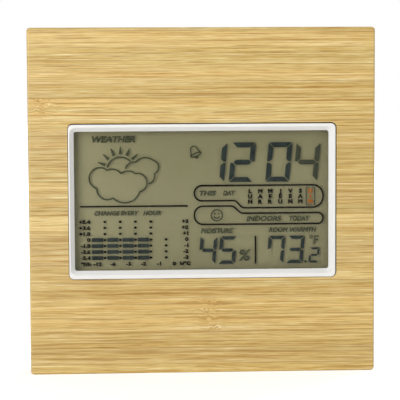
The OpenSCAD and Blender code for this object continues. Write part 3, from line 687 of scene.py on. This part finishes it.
def write(mesh, words, x, z, height, width=None, align=0.0, weight=0.03, slant=0.0, squeeze=0.9):
    """Adds words to a mesh: capitals `height` high stand on z, and x is their left end at
    align 0, their middle at 0.5 or their right end at 1. All in millimetres."""
    capital = text_mesh("H", weight, 0)
    capital_low, capital_high = extent(capital)
    letters = text_mesh(words, weight, slant)
    low, high = extent(letters)
    up = height / (capital_high.y - capital_low.y)
    across = width / (high.x - low.x) if width else up * squeeze
    start = x - align * (high.x - low.x) * across
    for vert in letters.vertices:
        raised = (vert.co.z - low.z) / (high.z - low.z)
        vert.co = at_display(
            start + (vert.co.x - low.x) * across,
            ink_back + (ink_front - ink_back) * raised,
            z + (vert.co.y - capital_low.y) * up,
        )
    mesh.from_mesh(letters)
    bmesh.ops.remove_doubles(mesh, verts=mesh.verts, dist=0.0005 * MM)
    bpy.data.meshes.remove(letters)
    bpy.data.meshes.remove(capital)


def lettering(name, look, *lines, **style):
    """One piece with several lines of words; each line is (words, x, z, height, width)."""
    mesh = bmesh.new()
    for words, x, z, height, width in lines:
        write(mesh, words, x, z, height, width, **style)
    return piece(name, mesh, look)


# ---- What the display shows ----

SLANT = 0.095  # how far a digit leans for each millimetre of its height
STROKES = {
    "0": "abcdef", "1": "bc", "2": "abged", "3": "abgcd", "4": "fgbc", "5": "afgcd", "7": "fabc",
}


def stroke_outline(stroke, width, height, thick, gap):
    """The outline of one of a digit's seven strokes, with mitred ends."""
    middle, near, far = height / 2, gap, thick + gap
    half = thick / 2
    level = {
        "a": [
            (near, height), (width - near, height),
            (width - far, height - thick), (far, height - thick),
        ],
        "g": [
            (half + near, middle), (far, middle + half), (width - far, middle + half),
            (width - half - near, middle), (width - far, middle - half), (far, middle - half),
        ],
        "f": [
            (0, height - near), (thick, height - far), (thick, middle + half + near),
            (half, middle + near), (0, middle + near),
        ],
    }
    if stroke in level:
        return level[stroke]
    if stroke == "b":
        return [(width - x, z) for x, z in level["f"]]
    if stroke == "e":
        return [(x, height - z) for x, z in level["f"]]
    if stroke == "c":
        return [(width - x, height - z) for x, z in level["f"]]
    return [(x, height - z) for x, z in level["a"]]


def digit(mesh, figure, left, base, width, height, thick, gap):
    for stroke in STROKES[figure]:
        outline = stroke_outline(stroke, width, height, thick, gap)
        add_plate(mesh, [(left + x + SLANT * z, base + z) for x, z in outline])


def digits(name, look, figures, base, width, height, thick, gap=0.25):
    """Seven-stroke figures; figures lists (figure, left)."""
    mesh = bmesh.new()
    for figure, left in figures:
        digit(mesh, figure, left, base, width, height, thick, gap)
    return piece(name, mesh, look)


def lines(name, look, *paths, width=0.5):
    """One piece with several drawn lines; each path is (points, closed)."""
    mesh = bmesh.new()
    for points, closed in paths:
        add_line(mesh, points, width, closed)
    return piece(name, mesh, look)


def plates(name, look, outlines):
    mesh = bmesh.new()
    for outline in outlines:
        add_plate(mesh, outline)
    return piece(name, mesh, look)


def sun_and_clouds():
    """Weather picture: a sun with six rays behind two clouds."""
    sun_x, sun_z, sun_r = -31.9, 12.0, 5.2
    lines(
        "picture_sun", SOFT_INK,
        (arc((-36.95, 13.2), (sun_x, sun_z + sun_r), (-28.1, 15.6), 20), False), width=0.62,
    )
    rays = []
    for place in range(6):
        turn = math.radians(43.3 + 23.3 * place)
        out = Vector((math.cos(turn), math.sin(turn)))
        side = Vector((-out.y, out.x))
        foot = Vector((sun_x, sun_z)) + out * 6.3
        tip = Vector((sun_x, sun_z)) + out * 9.4
        corners = [foot + side * 0.65, foot - side * 0.65, tip - side * 0.14, tip + side * 0.14]
        rays.append([tuple(corner) for corner in corners])
    plates("picture_rays", SOFT_INK, rays)
    near_lobes = [
        ((-41.1, 4.9), (-43.9, 7.6), (-43.2, 11.6)),
        ((-43.2, 11.6), (-40.2, 13.15), (-37.1, 12.1)),
        ((-37.1, 12.1), (-34.6, 12.5), (-31.75, 10.8)),
        ((-31.75, 10.8), (-29.2, 11.7), (-26.1, 10.7)),
        ((-26.1, 10.7), (-21.9, 8.7), (-24.4, 3.5)),
        ((-24.4, 3.5), (-28.6, -0.5), (-34.9, 1.2)),
        ((-34.9, 1.2), (-39.3, 1.2), (-41.1, 4.9)),
    ]
    near = [point for lobe in near_lobes for point in arc(*lobe)[:-1]]
    lines("picture_cloud_near", SOFT_INK, (near, True), width=0.62)
    far_lobes = [
        ((-29.9, 12.6), (-28.5, 14.6), (-25.9, 15.2)),
        ((-25.9, 15.2), (-22.7, 16.9), (-19.1, 15.9)),
        ((-19.1, 15.9), (-16.95, 13.3), (-18.7, 10.6)),
        ((-18.7, 10.6), (-18.9, 8.2), (-21.0, 6.7)),
    ]
    far = [point for lobe in far_lobes for point in arc(*lobe)[:-1]] + [far_lobes[-1][-1]]
    lines("picture_cloud_far", SOFT_INK, (far, False), width=0.62)


def bell():
    """Alarm bell, tilted to one side."""
    tilt = math.radians(21.5)
    centre = Vector((-2.3, 17.95))

    def turned(points):
        return [
            (
                centre.x + x * math.cos(tilt) - z * math.sin(tilt),
                centre.y + x * math.sin(tilt) + z * math.cos(tilt),
            )
            for x, z in points
        ]

    crown = arc((-1.35, 2.1), (0, 3.5), (1.35, 2.1))
    dome = [(-2.0, 0.1), (-1.5, 1.3)] + crown + [(1.5, 1.3), (2.0, 0.1)]
    rim = [(2.1 * x, 0.62 * z) for x, z in circle(0, 0, 1)]
    clapper = arc((-0.55, -1.0), (0, -1.35), (0.55, -1.0), 6)
    lines(
        "picture_bell", SOFT_INK,
        (turned(dome), False), (turned(rim), True), (turned(clapper), False), width=0.5,
    )


def smile():
    """A plain round face for the comfort reading."""
    x, z = 5.8, -6.0
    lines(
        "picture_face", SOFT_INK,
        (circle(x, z, 2.2, 32), True),
        (arc((x - 1.1, z - 0.45), (x, z - 1.15), (x + 1.1, z - 0.45)), False), width=0.5,
    )
    plates(
        "picture_face_eyes", SOFT_INK,
        [circle(x + side * 0.8, z + 0.65, 0.34, 12) for side in (-1, 1)],
    )


def frames():
    """The printed frames round the day row and the comfort row, and two dividing lines."""
    left, right = -3.0, 47.85
    day_row = [
        (left, 5.75, 2.95), (right, 5.75, 4.2), (right, -3.1, 4.2),
        (15.9, -3.1, 2.2), (13.2, -0.23, 2.2), (left, -0.23, 2.95),
    ]
    comfort_row = [
        (left, -2.35, 3.4), (12.2, -2.35, 2.2), (15.4, -5.25, 2.2),
        (right, -5.25, 2.1), (right, -9.55, 2.1), (left, -9.55, 3.4),
    ]
    lines(
        "display_frames", LINE_INK,
        (rounded(day_row), True), (rounded(comfort_row), True), width=0.66,
    )
    lines(
        "display_rules", LINE_INK,
        ([(-47.8, -2.15), (-5.55, -2.15)], False),
        ([(21.05, -14.3), (21.05, -25.3)], False), width=0.66,
    )


def day_names():
    """Seven short day names, each written downwards; the last is marked."""
    names = ["LUN", "MAR", "MER", "JEU", "VEN", "SAM", "DIM"]
    pitch, first_x, top_z = 3.97, 19.0, 2.55

    def column(name, look, places):
        mesh = bmesh.new()
        for place in places:
            for row, letter in enumerate(names[place]):
                x = first_x + place * pitch
                base = top_z - 2.08 * row
                write(mesh, letter, x, base, 1.75, align=0.5, weight=0.07, squeeze=1.1)
        piece(name, mesh, look)

    column("day_names", LINE_INK, range(6))
    column("day_marked", ORANGE_INK, [6])
    x = first_x + 6 * pitch
    box = [(x - 1.7, 4.8), (x + 1.7, 4.8), (x + 1.7, -2.2), (x - 1.7, -2.2)]
    lines("day_marked_box", GREY_INK, (box, True), width=0.42)


def labels():
    """Generic words in the places of a display's usual ones."""
    bold = {"weight": 0.045, "slant": 0.22}
    lettering("label_weather", SOFT_INK, ("WEATHER", -43.0, 22.95, 2.5, 17.0), **bold)
    lettering(
        "label_rows", SOFT_INK,
        ("THIS", -1.0, 1.8, 1.95, 6.6),
        ("DAY", 8.3, 1.8, 1.95, 5.0),
        ("INDOORS", 17.5, -8.45, 2.1, 13.9),
        ("TODAY", 34.4, -8.45, 2.1, 8.3), **bold,
    )
    lettering(
        "label_readings", SOFT_INK,
        ("MOISTURE", -0.5, -13.1, 2.05, 12.8),
        ("ROOM WARMTH", 26.4, -12.85, 1.95, 18.8), **bold,
    )
    lettering(
        "label_chart", SOFT_INK,
        ("CHANGE EVERY", -42.3, -5.7, 1.75, 17.6),
        ("HOUR", -23.2, -5.7, 1.75, 7.1), **bold,
    )


ROW_PITCH = 2.37
TOP_ROW = -8.2
COLUMN_PITCH = 6.0


def chart_scales():
    """The numbers round the chart, and its units."""
    mesh = bmesh.new()
    style = {"weight": 0.06, "squeeze": 1.25}
    left_scale = ["+5.4", "+3.6", "+1.8", "0", "-1.8", "-3.6", "-5.4"]
    right_scale = ["+3", "+2", "+1", "0", "-1", "-2", "-3"]
    for row in range(7):
        base = TOP_ROW - 0.75 - ROW_PITCH * row
        write(mesh, left_scale[row], -43.9, base, 1.55, align=1.0, **style)
        write(mesh, right_scale[row], -5.4, base, 1.55, align=1.0, **style)
    hours = ["-12", "-6", "-3", "-2", "-1", "0"]
    for place, hour in enumerate(hours):
        write(mesh, hour, -41.2 + 6.03 * place, -25.6, 1.5, align=0.5, **style)
    write(mesh, "°F/h", -47.8, -25.6, 1.5, width=4.1, weight=0.06)
    write(mesh, "h/°C", -8.8, -25.6, 1.5, width=4.1, weight=0.06)
    piece("chart_scales", mesh, LINE_INK)


def chart():
    """Dots and bars that show how the reading changed."""
    dots, bars = [], []
    for row in range(7):
        z = TOP_ROW - ROW_PITCH * row
        for column in range(5 if row >= 3 else 4):
            dots.append(circle(-38.2 + COLUMN_PITCH * column, z, 0.48, 12, 1.3))
        for column in range(4 if row >= 3 else 0):
            left = -43.3 + COLUMN_PITCH * column
            right, top, foot = left + 4.4, z + 0.75, z - 0.75
            bars.append([(left, top), (right, top), (right, foot), (left, foot)])
    plates("chart_dots", LINE_INK, dots)
    plates("chart_bars", DARK_INK, bars)


def readings():
    """The clock, the humidity and the temperature."""
    large = {"base": 7.1, "width": 9.45}
    hours = [("1", -0.75), ("2", 10.5), ("0", 24.95)]
    digits("clock_hours", DARK_INK, hours, height=15.55, thick=1.95, **large)
    digits("clock_minute", FADED_INK, [("4", 35.95)], height=15.3, thick=1.85, **large)
    small = {"base": -25.25, "width": 6.65, "height": 10.95, "thick": 1.35}
    digits("humidity_digits", DARK_INK, [("4", -1.6), ("5", 6.15)], **small)
    digits("temperature_digits", DARK_INK, [("7", 25.3), ("3", 33.0)], **small)
    digits("temperature_tenth", DARK_INK, [("2", 42.0)], -25.1, 4.0, 6.1, 0.87, 0.15)
    plates("temperature_point", DARK_INK, [circle(40.9, -24.6, 0.48, 12)])
    mesh = bmesh.new()
    write(mesh, "%", 14.3, -24.05, 4.4, width=4.7, weight=0.02, slant=0.15)
    write(mesh, "°F", 42.4, -17.85, 3.6, width=3.7, weight=0.015, slant=0.1)
    piece("reading_units", mesh, SOFT_INK)


sun_and_clouds()
bell()
smile()
frames()
day_names()
labels()
chart_scales()
chart()
readings()


# ---- Cells ----

def lathe(profile, steps=64):
    """A turned solid round the X axis; profile lists (x, radius) in millimetres."""
    mesh = bmesh.new()
    rings = []
    for x, radius in profile:
        if radius == 0:
            rings.append([mesh.verts.new((x * MM, 0, 0))] * steps)
            continue
        angles = [2 * math.pi * i / steps for i in range(steps)]
        rings.append([
            mesh.verts.new((x * MM, radius * MM * math.cos(a), radius * MM * math.sin(a)))
            for a in angles
        ])
    for ring, following in zip(rings, rings[1:]):
        for k in range(steps):
            corners = [ring[k], ring[k - 1], following[k - 1], following[k]]
            distinct = list(dict.fromkeys(corners))
            mesh.faces.new(distinct)
    return mesh


SLEEVE = battery_sleeve()


def cell(node, plus_side):
    """An AAA cell: a steel can with its nub, and a printed sleeve that is shrunk over it."""
    low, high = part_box(node)
    half = (high.x - low.x) / 2 / MM
    radius = (high.y - low.y) / 2 / MM
    can = [
        (half, 0), (half, 1.5), (half - 0.15, 1.85), (half - 0.75, 1.9), (half - 0.85, 2.2),
        (half - 0.85, 3.9), (half - 1.1, 4.3), (half - 1.1, radius - 0.35),
        (half - 1.4, radius - 0.2), (-half + 0.5, radius - 0.2), (-half + 0.2, radius - 0.5),
        (-half + 0.2, 3.6), (-half, 3.2), (-half, 0),
    ]
    sleeve = [
        (half - 1.05, radius - 0.9), (half - 0.9, radius - 0.7), (half - 0.95, radius - 0.25),
        (half - 1.3, radius), (-half + 0.5, radius), (-half + 0.12, radius - 0.3),
        (-half + 0.1, radius - 1.0), (-half + 0.2, radius - 1.0), (-half + 0.3, radius - 0.45),
        (-half + 0.6, radius - 0.18), (half - 1.4, radius - 0.18), (half - 1.15, radius - 0.33),
        (half - 1.05, radius - 0.9),
    ]
    place = Matrix.Translation((low + high) / 2)
    if plus_side < 0:
        place = place @ Matrix.Rotation(math.pi, 4, "Y")
    for part, profile, look in (("can", can, STEEL), ("sleeve", sleeve, SLEEVE)):
        thing = piece(f"{node}_{part}", lathe(profile), look, smooth=True)
        thing.matrix_world = place
        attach(thing, "station")
        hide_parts(node)


cell("battery_upper", 1)
cell("battery_lower", -1)


# ---- Floor, light and camera ----

def floor():
    """A round pale floor. The lens sees it lit up a little, as on a studio's light table."""
    mesh = bmesh.new()
    bmesh.ops.create_circle(mesh, cap_ends=True, segments=96, radius=4.0)
    data = bpy.data.meshes.new("floor")
    mesh.to_mesh(data)
    mesh.free()
    thing = bpy.data.objects.new("floor", data)
    bpy.context.collection.objects.link(thing)
    g = Graph("floor_pale")
    paper = g.noise(g.place(0.02, 0.02, 0.02), 2)
    shade = g.mix(paper, colour(244, 244, 244), colour(247, 247, 247))
    matt = g.add("BsdfDiffuse", {"Color": shade})
    x, y, _ = g.split(g.place())
    from_middle = g.math("SQRT", g.math("MULTIPLY_ADD", x, x, g.math("MULTIPLY", y, y)))
    strength = g.span(from_middle, 60, 420, 0.5, 0.8)
    glow = g.add("Emission", {"Color": (1, 1, 1, 1), "Strength": strength})
    seen = g.add("LightPath").outputs["Is Camera Ray"]
    lit = g.add("MixShader", {0: seen, 2: glow.outputs[0]})
    both = g.add("AddShader", {0: matt.outputs[0], 1: lit.outputs[0]})
    data.materials.append(g.end(both.outputs[0]))


def surround(brightness):
    """Even light from all round; the background itself shows as white."""
    world = bpy.data.worlds.new("studio")
    world.use_nodes = True
    nodes, links = world.node_tree.nodes, world.node_tree.links
    back = nodes["Background"]
    back.inputs["Color"].default_value = (1, 1, 1, 1)
    path = nodes.new("ShaderNodeLightPath")
    level = nodes.new("ShaderNodeMapRange")
    level.inputs["To Min"].default_value = brightness
    level.inputs["To Max"].default_value = 1.0
    links.new(path.outputs["Is Camera Ray"], level.inputs["Value"])
    links.new(level.outputs[0], back.inputs["Strength"])
    bpy.context.scene.world = world


def soft_box(name, direction, distance, size, level):
    """A square lamp that shines at the station's middle; level is how brightly it lights
    a white sheet that faces it, where 1 is full white."""
    data = bpy.data.lights.new(name, "AREA")
    data.size = size
    data.energy = level * math.pi ** 2 * distance ** 2
    lamp = bpy.data.objects.new(name, data)
    bpy.context.collection.objects.link(lamp)
    away = Vector(direction).normalized()
    lamp.location = Vector((0, 0, middle_z)) + away * distance
    lamp.rotation_mode = "QUATERNION"
    lamp.rotation_quaternion = away.to_track_quat("Z", "Y")


def camera():
    """Stands in front, a little to the left and above, with a long lens."""
    target = Vector((-1.0 * MM, panel_low.y, middle_z + 0.5 * MM))
    distance, yaw, pitch, roll = 584.5 * MM, 2.718, -4.325, -0.305
    turn = Matrix.Rotation(math.radians(-yaw), 4, "Z")
    turn = turn @ Matrix.Rotation(math.radians(90 + pitch), 4, "X")
    turn = turn @ Matrix.Rotation(math.radians(roll), 4, "Z")
    data = bpy.data.cameras.new("camera")
    data.sensor_width = 36
    data.lens = 135
    thing = bpy.data.objects.new("camera", data)
    bpy.context.collection.objects.link(thing)
    back = turn @ Vector((0, 0, 1))
    thing.matrix_world = Matrix.Translation(target + back * distance) @ turn
    bpy.context.scene.camera = thing


floor()
surround(0.38)
soft_box("key_lamp", (-0.5, -0.85, 0.13), 1.2, 0.7, 0.66)
soft_box("fill_lamp", (0.2, -0.6, 0.75), 1.5, 1.2, 0.1)
soft_box("back_lamp", (0.5, 0.8, 0.6), 1.4, 0.8, 0.45)
camera()
bpy.context.scene.view_settings.view_transform = "Standard"
bpy.context.scene.cycles.transparent_max_bounces = 24
